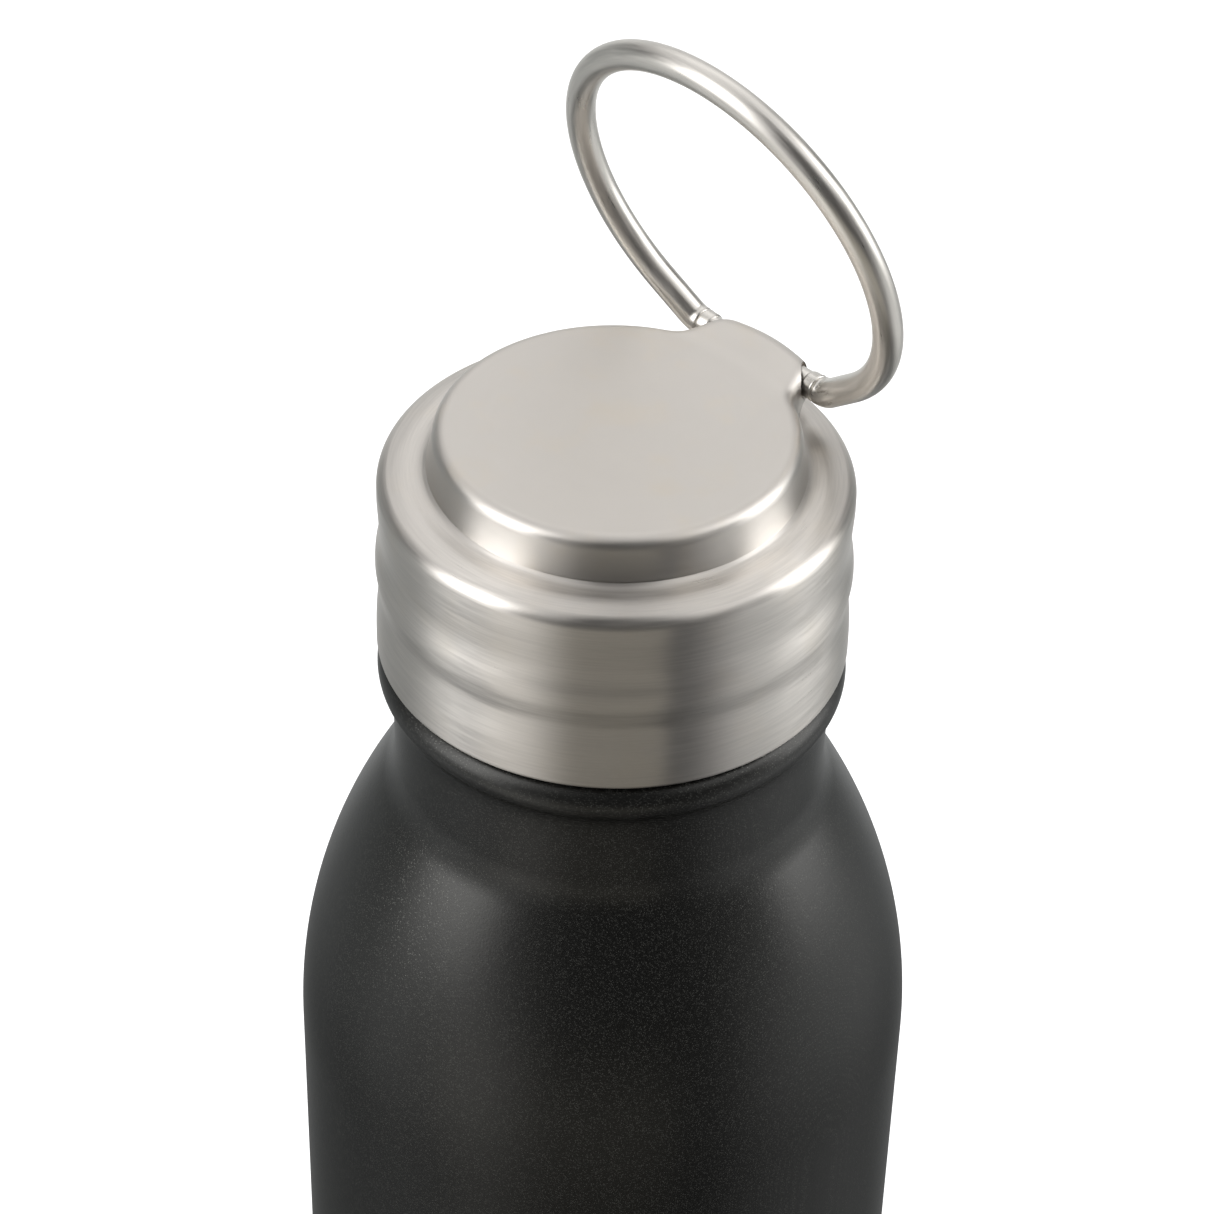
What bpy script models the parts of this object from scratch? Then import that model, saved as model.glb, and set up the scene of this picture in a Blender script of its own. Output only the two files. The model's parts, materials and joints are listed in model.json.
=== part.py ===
"""Insulated steel water bottle with a screw cap and a folding wire carry loop.

Frame: metres, +Z up the bottle's axis, origin at the centre of the base pad's underside. The cap's lug
points along +Y and the loop's pivot axis runs along X. Lengths below are in millimetres until a mesh is
written.
"""

import math

import bmesh
import bpy

MM = 0.001

# Driving dimensions
BODY_RADIUS = 36.5
SHOULDER_START_Z = 163.5
SHOULDER_RADIUS = 71.0
SHOULDER_SWEEP = 31.3
WAIST_FILLET = 10.0
BEAD_CENTRE = (24.0, 217.8)
BEAD_RADIUS = 2.5
CAP_BOTTOM_Z = 221.0
CAP_RADIUS = 26.5
CAP_TOP_Z = 245.1
CROWN_TOP_Z = 249.9
DISC_RADIUS = 20.45
LOOP_RADIUS = 22.25
LOOP_CENTRE = 20.75
LOOP_WIRE_RADIUS = 1.65
LOOP_REST_LEAN = 16.7
LUG_HALF_WIDTH = 7.75

# Walls and clearances
GAP = 0.3
OUTER_WALL = 0.5
INNER_WALL = 0.4
SHELL_SPACING = 3.7
NECK_ROOT_RADIUS = 22.7
MOUTH_RADIUS = NECK_ROOT_RADIUS - 2 * INNER_WALL - GAP
NECK_RIM_Z = 236.6
LINER_ROOT_RADIUS = 23.9

# Two-start thread shared by the neck and the cap
THREAD_STARTS = 2
THREAD_LEAD = 8.0
THREAD_DEPTH = 0.9
THREAD_ROOT_WIDTH = 1.4
THREAD_CREST_WIDTH = 0.8

# The lug's rounded nose stands just clear of the cap below it and rises a little above the disc
CROWN_BASE_Z = CAP_TOP_Z + GAP
PIVOT_Y = 22.5
PIVOT_Z = 248.4
NOSE_RADIUS = 2.4
PIN_RADIUS = 1.37
PIN_RUNNING_GAP = 0.08
FOOT_START_X = LUG_HALF_WIDTH + 1.4
FOOT_BEND_RADIUS = 2.4

SEGMENTS = 48
HIDDEN_SEGMENTS = 32
THREAD_STEPS = 32


def clear_scene():
    """Remove the start-up objects."""
    for thing in list(bpy.data.objects):
        bpy.data.objects.remove(thing, do_unlink=True)


def make_material(name, colour, metallic, roughness):
    """One Principled BSDF material."""
    material = bpy.data.materials.new(name)
    material.use_nodes = True
    shader = material.node_tree.nodes["Principled BSDF"]
    shader.inputs["Base Color"].default_value = (*colour, 1.0)
    shader.inputs["Metallic"].default_value = metallic
    shader.inputs["Roughness"].default_value = roughness
    material.diffuse_color = (*colour, 1.0)
    return material


def make_object(name, shape, look, origin=(0.0, 0.0, 0.0)):
    """Turn a filled bmesh into a named object whose origin is at `origin` (mm)."""
    mesh = bpy.data.meshes.new(name)
    bmesh.ops.recalc_face_normals(shape, faces=shape.faces)
    bmesh.ops.scale(shape, vec=(MM, MM, MM), verts=shape.verts)
    shape.to_mesh(mesh)
    shape.free()
    mesh.shade_smooth()
    mesh.set_sharp_from_angle(angle=math.radians(30))
    thing = bpy.data.objects.new(name, mesh)
    thing.location = [MM * value for value in origin]
    bpy.context.scene.collection.objects.link(thing)
    if look:
        mesh.materials.append(make_material(name, *look))
    return thing


def arc(centre, radius, start, end, steps):
    """Points on an arc from `start` to `end` degrees, both ends included."""
    points = []
    for step in range(steps + 1):
        angle = math.radians(start + (end - start) * step / steps)
        points.append((centre[0] + radius * math.cos(angle), centre[1] + radius * math.sin(angle)))
    return points


def lathe(name, profile, look, segments=SEGMENTS, centre=(0.0, 0.0)):
    """Revolve a closed (radius, z) outline about a vertical axis through `centre`."""
    shape = bmesh.new()
    rings = []
    for radius, height in profile:
        if radius < 1e-6:
            rings.append([shape.verts.new((centre[0], centre[1], height))])
            continue
        ring = []
        for step in range(segments):
            angle = 2 * math.pi * step / segments
            x = centre[0] + radius * math.cos(angle)
            y = centre[1] + radius * math.sin(angle)
            ring.append(shape.verts.new((x, y, height)))
        rings.append(ring)
    for first, second in zip(rings, rings[1:] + rings[:1]):
        join_rings(shape, first, second)
    return make_object(name, shape, look)


def join_rings(shape, first, second):
    """Bridge two rings of a closed surface; a ring of one point is a pole."""
    if len(first) == 1 and len(second) == 1:
        return
    count = max(len(first), len(second))
    for step in range(count):
        after = (step + 1) % count
        corners = [first[step % len(first)], first[after % len(first)]]
        corners += [second[after % len(second)], second[step % len(second)]]
        unique = list(dict.fromkeys(corners))
        shape.faces.new(unique)


def boolean(target, cutter, operation):
    """Attach an exact Boolean and hide the other shape."""
    cutter.hide_render = True
    cutter.display_type = "WIRE"
    modifier = target.modifiers.new(operation.title(), "BOOLEAN")
    modifier.operation = operation
    modifier.solver = "EXACT"
    modifier.object = cutter


def thread_ridge(name, surface_radius, outward, bottom_z, turns, start_angle):
    """One helical ridge whose ends fade into the surface it stands on.

    The foot of its section lies inside the wall so that the union has no coincident faces.
    """
    steps = round(turns * THREAD_STEPS)
    fade = 0.12
    shape = bmesh.new()
    rings = []
    for step in range(steps + 1):
        turn = turns * step / steps
        angle = math.radians(start_angle) + 2 * math.pi * turn
        centre_z = bottom_z + THREAD_LEAD * turn
        rise = min(1.0, turn / fade, (turns - turn) / fade)
        height = THREAD_DEPTH * rise
        foot = surface_radius - outward * 0.35
        crest = surface_radius + outward * (height - 0.1 * (1 - rise))
        section = [(foot, -THREAD_ROOT_WIDTH / 2), (crest, -THREAD_CREST_WIDTH / 2)]
        section += [(crest, THREAD_CREST_WIDTH / 2), (foot, THREAD_ROOT_WIDTH / 2)]
        ring = []
        for radius, offset in section:
            point = (radius * math.cos(angle), radius * math.sin(angle), centre_z + offset)
            ring.append(shape.verts.new(point))
        rings.append(ring)
    for first, second in zip(rings, rings[1:]):
        join_rings(shape, first, second)
    shape.faces.new(rings[0])
    shape.faces.new(rings[-1][::-1])
    return make_object(name, shape, None)


def add_thread(target, surface_radius, outward, bottom_z, turns, start_angle):
    """Stand every start of the thread on a wall."""
    for start in range(THREAD_STARTS):
        angle = start_angle + 360 * start / THREAD_STARTS
        ridge = thread_ridge(
            f"{target.name}_ridge_{start + 1}", surface_radius, outward, bottom_z, turns, angle
        )
        boolean(target, ridge, "UNION")


def sweep_round(shape, path, radius, sides):
    """Sweep a circle along a path that lies in the XZ plane."""
    rings = []
    for index, (x, z) in enumerate(path):
        before = path[max(index - 1, 0)]
        after = path[min(index + 1, len(path) - 1)]
        along = (after[0] - before[0], after[1] - before[1])
        length = math.hypot(*along)
        side = (-along[1] / length, along[0] / length)
        ring = []
        for step in range(sides):
            angle = 2 * math.pi * step / sides
            reach = radius * math.cos(angle)
            point = (x + side[0] * reach, radius * math.sin(angle), z + side[1] * reach)
            ring.append(shape.verts.new(point))
        rings.append(ring)
    for first, second in zip(rings, rings[1:]):
        join_rings(shape, first, second)
    shape.faces.new(rings[0])
    shape.faces.new(rings[-1][::-1])


def shoulder_profile(inset, steps):
    """Body wall from the top of the cylinder up to the waist, `inset` inside the outer surface."""
    centre = (BODY_RADIUS - SHOULDER_RADIUS, SHOULDER_START_Z)
    shoulder = arc(centre, SHOULDER_RADIUS - inset, 0, SHOULDER_SWEEP, steps)
    reach = SHOULDER_RADIUS + WAIST_FILLET
    turn = math.radians(SHOULDER_SWEEP)
    fillet_centre = (centre[0] + reach * math.cos(turn), centre[1] + reach * math.sin(turn))
    waist = arc(fillet_centre, WAIST_FILLET + inset, 180 + SHOULDER_SWEEP, 180, 3)
    return shoulder + waist[1:]


def bead_profile(inset, steps):
    """Rounded bead under the cap, from the neck out and back to the ledge."""
    return arc(BEAD_CENTRE, BEAD_RADIUS - inset, -60, 90, steps)


def build_outer_shell():
    """Outer steel wall: rolled foot, cylinder, shoulder, waist, bead and threaded neck."""
    outside = [(34.4, 1.5)] + arc((BODY_RADIUS - 2.6, 4.0), 2.6, -75, 0, 3)
    outside += shoulder_profile(0.0, 7) + bead_profile(0.0, 5)
    outside += [(NECK_ROOT_RADIUS, BEAD_CENTRE[1] + BEAD_RADIUS), (NECK_ROOT_RADIUS, NECK_RIM_Z)]
    neck_inside = NECK_ROOT_RADIUS - INNER_WALL
    inside = [(34.4, 2.3)] + arc((BODY_RADIUS - 2.6, 4.0), 2.6 - OUTER_WALL, -65, 0, 2)
    inside += shoulder_profile(OUTER_WALL, 4) + bead_profile(OUTER_WALL, 3)
    inside += [(neck_inside, BEAD_CENTRE[1] + BEAD_RADIUS - OUTER_WALL), (neck_inside, NECK_RIM_Z)]
    shell = lathe("outer_shell", outside + inside[::-1], ((0.02, 0.02, 0.018), 0.0, 0.6))
    add_thread(shell, NECK_ROOT_RADIUS, 1, 223.2, 1.4, 0)
    return shell


def inner_neck_profile(inset):
    """Inner vessel's wall from the cylinder to the straight neck, `inset` inside its outer surface."""
    centre = (BODY_RADIUS - SHOULDER_RADIUS, SHOULDER_START_Z)
    radius = SHOULDER_RADIUS - SHELL_SPACING
    neck = NECK_ROOT_RADIUS - INNER_WALL - GAP
    fillet = 8.0
    turn = math.acos((neck + fillet - centre[0]) / (radius + fillet))
    sweep = math.degrees(turn)
    fillet_centre = (neck + fillet, centre[1] + (radius + fillet) * math.sin(turn))
    shoulder = arc(centre, radius - inset, 0, sweep, 5)
    return shoulder + arc(fillet_centre, fillet + inset, 180 + sweep, 180, 3)[1:]


def build_inner_flask():
    """Vessel that holds the drink: a drawn wall with a rolled lip, and a welded base."""
    outer = BODY_RADIUS - SHELL_SPACING
    inner = outer - INNER_WALL
    seam_z = 21.0
    lip_bottom = NECK_RIM_Z + GAP
    lip_top = lip_bottom + 0.7
    outside = [(outer, seam_z + GAP)] + inner_neck_profile(0.0)
    outside += [(outside[-1][0], lip_bottom), (NECK_ROOT_RADIUS, lip_bottom)]
    outside += [(NECK_ROOT_RADIUS + 0.2, lip_bottom + 0.35), (NECK_ROOT_RADIUS, lip_top)]
    inside = [(inner, seam_z + GAP)] + inner_neck_profile(INNER_WALL)
    inside += [(MOUTH_RADIUS, lip_top - 0.5), (MOUTH_RADIUS + 0.5, lip_top)]
    steel = ((0.62, 0.61, 0.59), 1.0, 0.32)
    lathe("inner_flask_wall", outside + inside[::-1], steel, HIDDEN_SEGMENTS)

    corner = 8.0
    floor = seam_z - corner
    centre = (outer - corner, seam_z)
    base_outside = [(0.0, floor)] + arc(centre, corner, -90, 0, 4)
    base_inside = [(0.0, floor + INNER_WALL)] + arc(centre, corner - INNER_WALL, -90, 0, 4)
    lathe("inner_flask_base", base_outside + base_inside[::-1], steel, HIDDEN_SEGMENTS)


def build_vacuum_parts():
    """Everything that closes and serves the space between the two walls."""
    steel = ((0.55, 0.55, 0.54), 1.0, 0.4)
    rim = BODY_RADIUS - OUTER_WALL - GAP
    plate = [(rim, 4.6), (rim, 8.3), (9.0, 8.3), (6.5, 9.5), (0.9, 9.5)]
    plate += [(0.9, 8.9), (5.9, 8.9), (8.4, 7.7), (rim - OUTER_WALL, 7.7), (rim - OUTER_WALL, 4.6)]
    lathe("outer_base", plate, steel, HIDDEN_SEGMENTS)

    bead = [(0.0, 7.6), (3.2, 7.8), (4.4, 8.3), (4.4, 8.6), (0.0, 8.6)]
    lathe("vacuum_seal", bead, ((0.35, 0.3, 0.22), 0.0, 0.25), 24)

    foil_inner = BODY_RADIUS - SHELL_SPACING + 0.4
    foil_outer = foil_inner + 0.1
    foil = [(foil_inner, 24.0), (foil_outer, 24.0), (foil_outer, 158.0), (foil_inner, 158.0)]
    lathe("radiation_shield", foil, ((0.8, 0.8, 0.79), 1.0, 0.25), HIDDEN_SEGMENTS)

    place = (20.0, 0.0)
    cup = [(0.0, 8.8), (5.2, 8.8), (5.2, 10.2), (4.9, 10.2), (4.9, 9.1), (0.0, 9.1)]
    lathe("getter_cup", cup, ((0.6, 0.6, 0.58), 1.0, 0.35), 24, place)
    pill = [(0.0, 9.4), (4.2, 9.4), (4.6, 9.7), (4.6, 11.0), (0.0, 11.0)]
    lathe("getter_pill", pill, ((0.22, 0.22, 0.23), 0.3, 0.8), 24, place)


def build_foot():
    """Dressed underside and the rubber foot that the bottle stands on."""
    rim = 34.1
    cover = [(0.0, 3.2), (rim - 0.6, 3.2), (rim, 3.8), (rim, 7.2), (rim - 0.6, 7.2)]
    cover += [(rim - 0.6, 4.0), (0.0, 4.0)]
    lathe("bottom_cover", cover, ((0.58, 0.57, 0.55), 1.0, 0.35), HIDDEN_SEGMENTS)
    pad = [(0.0, 0.0), (32.4, 0.0), (33.2, 0.35), (33.5, 1.1), (33.5, 2.9), (0.0, 2.9)]
    lathe("base_pad", pad, ((0.03, 0.03, 0.03), 0.0, 0.85), SEGMENTS)


def build_cap_shell():
    """Drawn steel cap: stepped skirt, rounded shoulder and the low step up to the crown's seat."""
    base = CAP_BOTTOM_Z
    lower = [(25.9, 0.0), (26.35, 0.1), (CAP_RADIUS, 0.5), (CAP_RADIUS - 0.05, 3.8), (26.2, 6.6)]
    middle = [(25.95, 8.5), (26.4, 9.7), (CAP_RADIUS + 0.05, 10.8), (26.45, 12.8)]
    upper = [(25.9, 15.0), (26.1, 17.5), (26.25, 19.9)]
    shoulder = arc((24.75, 21.7), 1.45, 15, 85, 4)
    step = [(23.9, 23.2), (23.3, 23.5), (22.8, 23.95), (22.2, 24.1), (0.0, 24.1)]
    outside = lower + middle + upper + shoulder + step
    inside = [(25.6, 0.2), (25.3, 1.0), (25.3, 20.6), (24.9, 21.8), (24.2, 22.4), (22.7, 22.6)]
    inside += [(22.0, 23.3), (0.0, 23.3)]
    profile = [(radius, base + height) for radius, height in outside + inside[::-1]]
    lathe("cap_shell", profile, ((0.6, 0.585, 0.56), 1.0, 0.3))


def smooth_step(low, high, value):
    """Ease from 0 at `low` to 1 at `high`."""
    share = min(1.0, max(0.0, (value - low) / (high - low)))
    return share * share * (3 - 2 * share)


def lug_stations():
    """(y, half width, low z, high z) across the lug, from inside the disc out to the nose."""
    fillet = 4.0
    disc = DISC_RADIUS + 0.2
    fillet_y = math.sqrt((disc + fillet) ** 2 - (LUG_HALF_WIDTH + fillet) ** 2)
    meet_y = disc * fillet_y / (disc + fillet)
    low, high = PIVOT_Z - NOSE_RADIUS, PIVOT_Z + NOSE_RADIUS
    stations = []
    for y in (12.0, 14.0, 15.5, 16.6):
        rise = smooth_step(13.0, PIVOT_Y, y)
        top = CROWN_TOP_Z - 0.12 + (high - CROWN_TOP_Z + 0.12) * rise
        stations.append((y, math.sqrt(disc**2 - y**2) - 0.5, CROWN_BASE_Z + 0.1, top))
    for step in range(7):
        y = meet_y + (fillet_y - meet_y) * step / 6
        width = LUG_HALF_WIDTH + fillet - math.sqrt(max(0.0, fillet**2 - (fillet_y - y) ** 2))
        rise = smooth_step(13.0, PIVOT_Y, y)
        top = CROWN_TOP_Z - 0.12 + (high - CROWN_TOP_Z + 0.12) * rise
        bottom = CROWN_BASE_Z + 0.1 + (low - CROWN_BASE_Z - 0.1) * smooth_step(meet_y, fillet_y, y)
        stations.append((y, width, bottom, top))
    for step in range(7):
        angle = math.radians(14 * step)
        half_height = NOSE_RADIUS * math.cos(angle)
        width = LUG_HALF_WIDTH - 3.4 * (1 - math.cos(angle))
        y = PIVOT_Y + NOSE_RADIUS * math.sin(angle)
        stations.append((y, width, PIVOT_Z - half_height, PIVOT_Z + half_height))
    return stations


def build_lug():
    """Lug lofted through rounded sections, ready to join the disc."""
    shape = bmesh.new()
    rings = []
    for y, width, low, high in lug_stations():
        edge = min(0.75, (high - low) / 2 - 0.02)
        ring = []
        corners = [(width, high, 0), (-width, high, 90), (-width, low, 180), (width, low, 270)]
        for x, z, start in corners:
            centre = (x - math.copysign(edge, x), z - edge if z == high else z + edge)
            for point in arc(centre, edge, start, start + 90, 3):
                ring.append(shape.verts.new((point[0], y, point[1])))
        rings.append(ring)
    for first, second in zip(rings, rings[1:]):
        join_rings(shape, first, second)
    shape.faces.new(rings[0])
    shape.faces.new(rings[-1][::-1])
    return make_object("crown_lug", shape, None)


def build_cap_crown():
    """Raised disc and lug in one casting: bored for the pin and relieved underneath."""
    edge = 0.9
    profile = [(0.0, CROWN_BASE_Z), (DISC_RADIUS + 0.1, CROWN_BASE_Z)]
    profile += [(DISC_RADIUS + 0.35, CROWN_BASE_Z + 0.25)]
    profile += arc((DISC_RADIUS - edge, CROWN_TOP_Z - edge), edge, 0, 90, 4)
    profile += [(0.0, CROWN_TOP_Z)]
    crown = lathe("cap_crown", profile, ((0.63, 0.61, 0.585), 1.0, 0.34))
    boolean(crown, build_lug(), "UNION")

    below = CROWN_BASE_Z - 1.0
    ceiling = CROWN_BASE_Z + 3.2
    relief = [(0.0, below), (18.0, below), (18.0, ceiling - 0.8), (17.2, ceiling), (0.0, ceiling)]
    boolean(crown, lathe("crown_relief_cut", relief, None, HIDDEN_SEGMENTS), "DIFFERENCE")
    bore = bmesh.new()
    half = LUG_HALF_WIDTH + 4
    sweep_round(bore, [(-half, 0.0), (half, 0.0)], PIN_RADIUS + PIN_RUNNING_GAP, 24)
    cutter = make_object("crown_bore_cut", bore, None, (0.0, PIVOT_Y, PIVOT_Z))
    boolean(crown, cutter, "DIFFERENCE")


def build_cap_inside():
    """Plastic liner with its thread, foam, plug disc and gasket."""
    deck = 240.4
    wall = 25.0
    plug = 20.4
    bore = plug - 1.0
    liner = [(wall, 221.5), (wall, deck + 1.1), (wall - 0.4, deck + 1.5), (bore, deck + 1.5)]
    liner += [(bore, 222.1), (plug, 222.1), (plug, deck), (LINER_ROOT_RADIUS, deck)]
    liner += [(LINER_ROOT_RADIUS, 221.9), (LINER_ROOT_RADIUS + 0.4, 221.5)]
    thing = lathe("cap_liner", liner, ((0.05, 0.05, 0.05), 0.0, 0.5), SEGMENTS)
    quarter = 360 / THREAD_STARTS / 2
    add_thread(thing, LINER_ROOT_RADIUS, -1, 223.2, 1.55, quarter)

    head = bore + 2.6
    foam = [(0.0, 222.3), (bore - GAP, 222.3), (bore - GAP, deck + 1.9), (head, deck + 1.9)]
    foam += [(head, 242.9), (21.6, 243.9), (0.0, 243.9)]
    lathe("cap_foam", foam, ((0.85, 0.84, 0.78), 0.0, 0.95), HIDDEN_SEGMENTS)
    disc = [(0.0, 220.5), (19.8, 220.5), (plug, 221.1), (plug, 221.8), (0.0, 221.8)]
    lathe("cap_plug_disc", disc, ((0.6, 0.59, 0.57), 1.0, 0.25), HIDDEN_SEGMENTS)
    ring = [(20.7, 238.2), (21.0, 237.9), (23.2, 237.9), (23.5, 238.2), (23.5, 239.8), (23.2, 240.1)]
    ring += [(21.0, 240.1), (20.7, 239.8)]
    lathe("cap_seal_ring", ring, ((0.75, 0.75, 0.73), 0.0, 0.6), HIDDEN_SEGMENTS)


def loop_path():
    """Half of the loop's centreline in its own plane, from a foot at the pivot axis to the top.

    A short bend leaves the axis, then a straight foot runs tangent to the bend and to the large circle.
    """
    bend_centre = (FOOT_START_X, FOOT_BEND_RADIUS)
    lift = LOOP_CENTRE - FOOT_BEND_RADIUS
    spacing = math.hypot(FOOT_START_X, lift)
    slope = math.atan2(FOOT_START_X, lift) + math.acos((LOOP_RADIUS - FOOT_BEND_RADIUS) / spacing)
    turn = math.degrees(slope)
    bend = arc(bend_centre, FOOT_BEND_RADIUS, -90, turn - 90, 4)
    return bend + arc((0.0, LOOP_CENTRE), LOOP_RADIUS, turn - 90, 90, 22)


def build_loop():
    """Wire carry loop leaning in over the cap, and the pin that its feet are welded to."""
    half = loop_path()
    path = half + [(-x, z) for x, z in half[-2::-1]]
    steel = ((0.6, 0.59, 0.56), 1.0, 0.22)
    wire = bmesh.new()
    sweep_round(wire, path, LOOP_WIRE_RADIUS, 12)
    lean = math.radians(LOOP_REST_LEAN)
    for vertex in wire.verts:
        y, z = vertex.co.y, vertex.co.z
        vertex.co.y = y * math.cos(lean) - z * math.sin(lean)
        vertex.co.z = y * math.sin(lean) + z * math.cos(lean)
    pivot = (0.0, PIVOT_Y, PIVOT_Z)
    make_object("handle_loop", wire, steel, pivot)
    pin = bmesh.new()
    end = FOOT_START_X - GAP
    sweep_round(pin, [(-end, 0.0), (end, 0.0)], PIN_RADIUS, 24)
    make_object("pivot_pin", pin, steel, pivot)


clear_scene()
build_outer_shell()
build_inner_flask()
build_vacuum_parts()
build_foot()
build_cap_shell()
build_cap_crown()
build_cap_inside()
build_loop()
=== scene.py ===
"""Looks for the insulated bottle: fine surfaces, finishes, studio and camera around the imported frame.

Lengths are in millimetres until they reach Blender, and angles are in degrees. The textures' scales are
per metre. +Z is up the bottle's axis, the lug is on +Y and the loop's pivot axis runs along X.
"""

import json
import math

import bmesh
import bpy
from mathutils import Matrix, Vector


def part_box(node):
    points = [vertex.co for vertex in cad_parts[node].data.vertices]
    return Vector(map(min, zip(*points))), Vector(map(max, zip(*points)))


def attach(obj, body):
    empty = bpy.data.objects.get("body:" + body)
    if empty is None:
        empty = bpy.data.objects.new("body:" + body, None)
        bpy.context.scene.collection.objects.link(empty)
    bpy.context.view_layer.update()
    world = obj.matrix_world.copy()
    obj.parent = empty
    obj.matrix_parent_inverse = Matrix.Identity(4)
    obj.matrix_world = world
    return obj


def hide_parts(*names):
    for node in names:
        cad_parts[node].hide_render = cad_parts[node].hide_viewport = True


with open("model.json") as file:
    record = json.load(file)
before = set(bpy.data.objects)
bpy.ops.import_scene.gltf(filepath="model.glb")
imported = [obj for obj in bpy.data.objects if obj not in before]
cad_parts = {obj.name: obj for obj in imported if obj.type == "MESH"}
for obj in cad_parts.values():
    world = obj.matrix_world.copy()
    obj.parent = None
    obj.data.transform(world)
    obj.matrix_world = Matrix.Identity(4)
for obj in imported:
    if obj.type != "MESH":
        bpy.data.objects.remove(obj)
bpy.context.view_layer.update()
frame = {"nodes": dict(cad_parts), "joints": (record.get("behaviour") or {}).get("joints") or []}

MM = 0.001


def node_box(node):
    """Lowest and highest corner of a CAD node in millimetres."""
    low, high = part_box(node)
    return low / MM, high / MM


def joint_place(name):
    """A hinge's position in millimetres."""
    for joint in frame["joints"]:
        if joint["name"] == name:
            return Vector(joint["pos_m"]) / MM
    raise ValueError(name)


# Sizes read from the frame
BODY_RADIUS = node_box("outer_shell")[1].x
NECK_RIM_Z = node_box("outer_shell")[1].z
LIP_TOP_Z = node_box("inner_flask_wall")[1].z
FLASK_FLOOR_Z = node_box("inner_flask_base")[0].z
CAP_BOTTOM_Z = node_box("cap_shell")[0].z
CAP_TOP_Z = node_box("cap_shell")[1].z
CROWN_WALL_RADIUS = -node_box("cap_crown")[0].y
NOSE_TOP_Z = node_box("cap_crown")[1].z
PIVOT = joint_place("loop_pivot")
PIN_END = node_box("pivot_pin")[1].x
PIN_RADIUS = node_box("pivot_pin")[1].z - PIVOT.z
PAD_RADIUS = node_box("base_pad")[1].x
PAD_TOP_Z = node_box("base_pad")[1].z
COVER_RADIUS = node_box("bottom_cover")[1].x

# Body: a long arc over the shoulder, a waist fillet and a bead under the cap
SHOULDER_START_Z = 163.5
SHOULDER_RADIUS = 71.0
SHOULDER_SWEEP = 31.3
WAIST_FILLET = 10.0
BEAD_CENTRE = (24.0, 217.8)
BEAD_RADIUS = 2.5
FOOT_ROUND = 2.6
FOOT_INNER_RADIUS = 33.9
NECK_RADIUS = 22.7
MOUTH_RADIUS = 21.6
SHELL_SPACING = 3.7

# Thread
THREAD_STARTS = 2
THREAD_LEAD = 8.0
THREAD_DEPTH = 0.9
THREAD_ROOT_WIDTH = 1.7
THREAD_CREST_WIDTH = 0.5
THREAD_BOTTOM_Z = 223.2
LINER_RADIUS = 25.0
LINER_ROOT_RADIUS = 23.9
LINER_DECK_Z = 240.4
PLUG_RADIUS = 20.4

# Crown: a disc whose wall leans in by DISC_LEAN towards its top, with a softly rounded edge
DISC_LEAN = 0.65
DISC_RADIUS = CROWN_WALL_RADIUS - DISC_LEAN
DISC_TOP_Z = 249.9
DISC_EDGE = 1.6

# Lug: it grows out of the disc between two places on Y, and its edge gets rounder on the way
LUG_HALF_WIDTH = 7.75
LUG_FILLET = 4.0
LUG_START_Y = 18.6
LUG_FULL_Y = 22.0
LUG_EDGE = 0.8
LUG_EDGE_GROWTH = 1.3
LUG_EDGE_FULL_Y = 21.0
NOSE_REACH = NOSE_TOP_Z - PIVOT.z
NOSE_BOW = 1.2
NOSE_CORNER = 3.6
HOLE_RADIUS = 1.8
HOLE_DEPTH = 3.0

# The lug's top rises above the disc in a hump, behind a faint swale
HUMP_START = 17.6
HUMP_END = 23.4
HUMP_HALF_WIDTH = 8.4
HUMP_FALL = 0.75
SWALE_RADIUS = 18.8
SWALE_WIDTH = 1.4
SWALE_DEPTH = 0.06

# Loop
LOOP_RADIUS = 22.25
LOOP_CENTRE = 20.75
WIRE_RADIUS = 1.65
LOOP_LEAN = 16.7
FOOT_START_X = 9.15
FOOT_BEND_RADIUS = 2.4

# Sides of a turned piece, and how fast the wire's scratches change along it
ROUND = 256
LENGTHWISE = 0.04


# ---------------------------------------------------------------- curves

def arc(centre, radius, start, end, steps):
    """Points on an arc from `start` to `end` degrees, both ends included."""
    points = []
    for step in range(steps + 1):
        angle = math.radians(start + (end - start) * step / steps)
        points.append((centre[0] + radius * math.cos(angle), centre[1] + radius * math.sin(angle)))
    return points


def through(points, steps):
    """A smooth Catmull-Rom curve through the points, with `steps` pieces between each pair."""
    padded = [points[0]] + list(points) + [points[-1]]
    curve = []
    for index in range(1, len(padded) - 2):
        p0, p1, p2, p3 = (Vector(padded[index + shift]) for shift in (-1, 0, 1, 2))
        for step in range(steps):
            t = step / steps
            point = 0.5 * (
                2 * p1 + (p2 - p0) * t + (2 * p0 - 5 * p1 + 4 * p2 - p3) * t**2
                + (3 * p1 - p0 - 3 * p2 + p3) * t**3
            )
            curve.append(tuple(point))
    return curve + [tuple(points[-1])]


def line(start, end, steps):
    """Points from `start` towards `end`, leaving the end out."""
    points = []
    for step in range(steps):
        share = step / steps
        points.append(tuple(a + (b - a) * share for a, b in zip(start, end)))
    return points


def smooth_step(low, high, value):
    """Ease from 0 at `low` to 1 at `high`."""
    share = min(1.0, max(0.0, (value - low) / (high - low)))
    return share * share * (3 - 2 * share)


# ---------------------------------------------------------------- meshes

def link_object(name, data):
    """Put an object with this data into the scene."""
    made = bpy.data.objects.new(name, data)
    bpy.context.scene.collection.objects.link(made)
    return made


def to_object(name, shape):
    """Turn a bmesh in millimetres into an object in metres."""
    mesh = bpy.data.meshes.new(name)
    bmesh.ops.scale(shape, vec=(MM, MM, MM), verts=shape.verts)
    shape.to_mesh(mesh)
    shape.free()
    return link_object(name, mesh)


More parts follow.
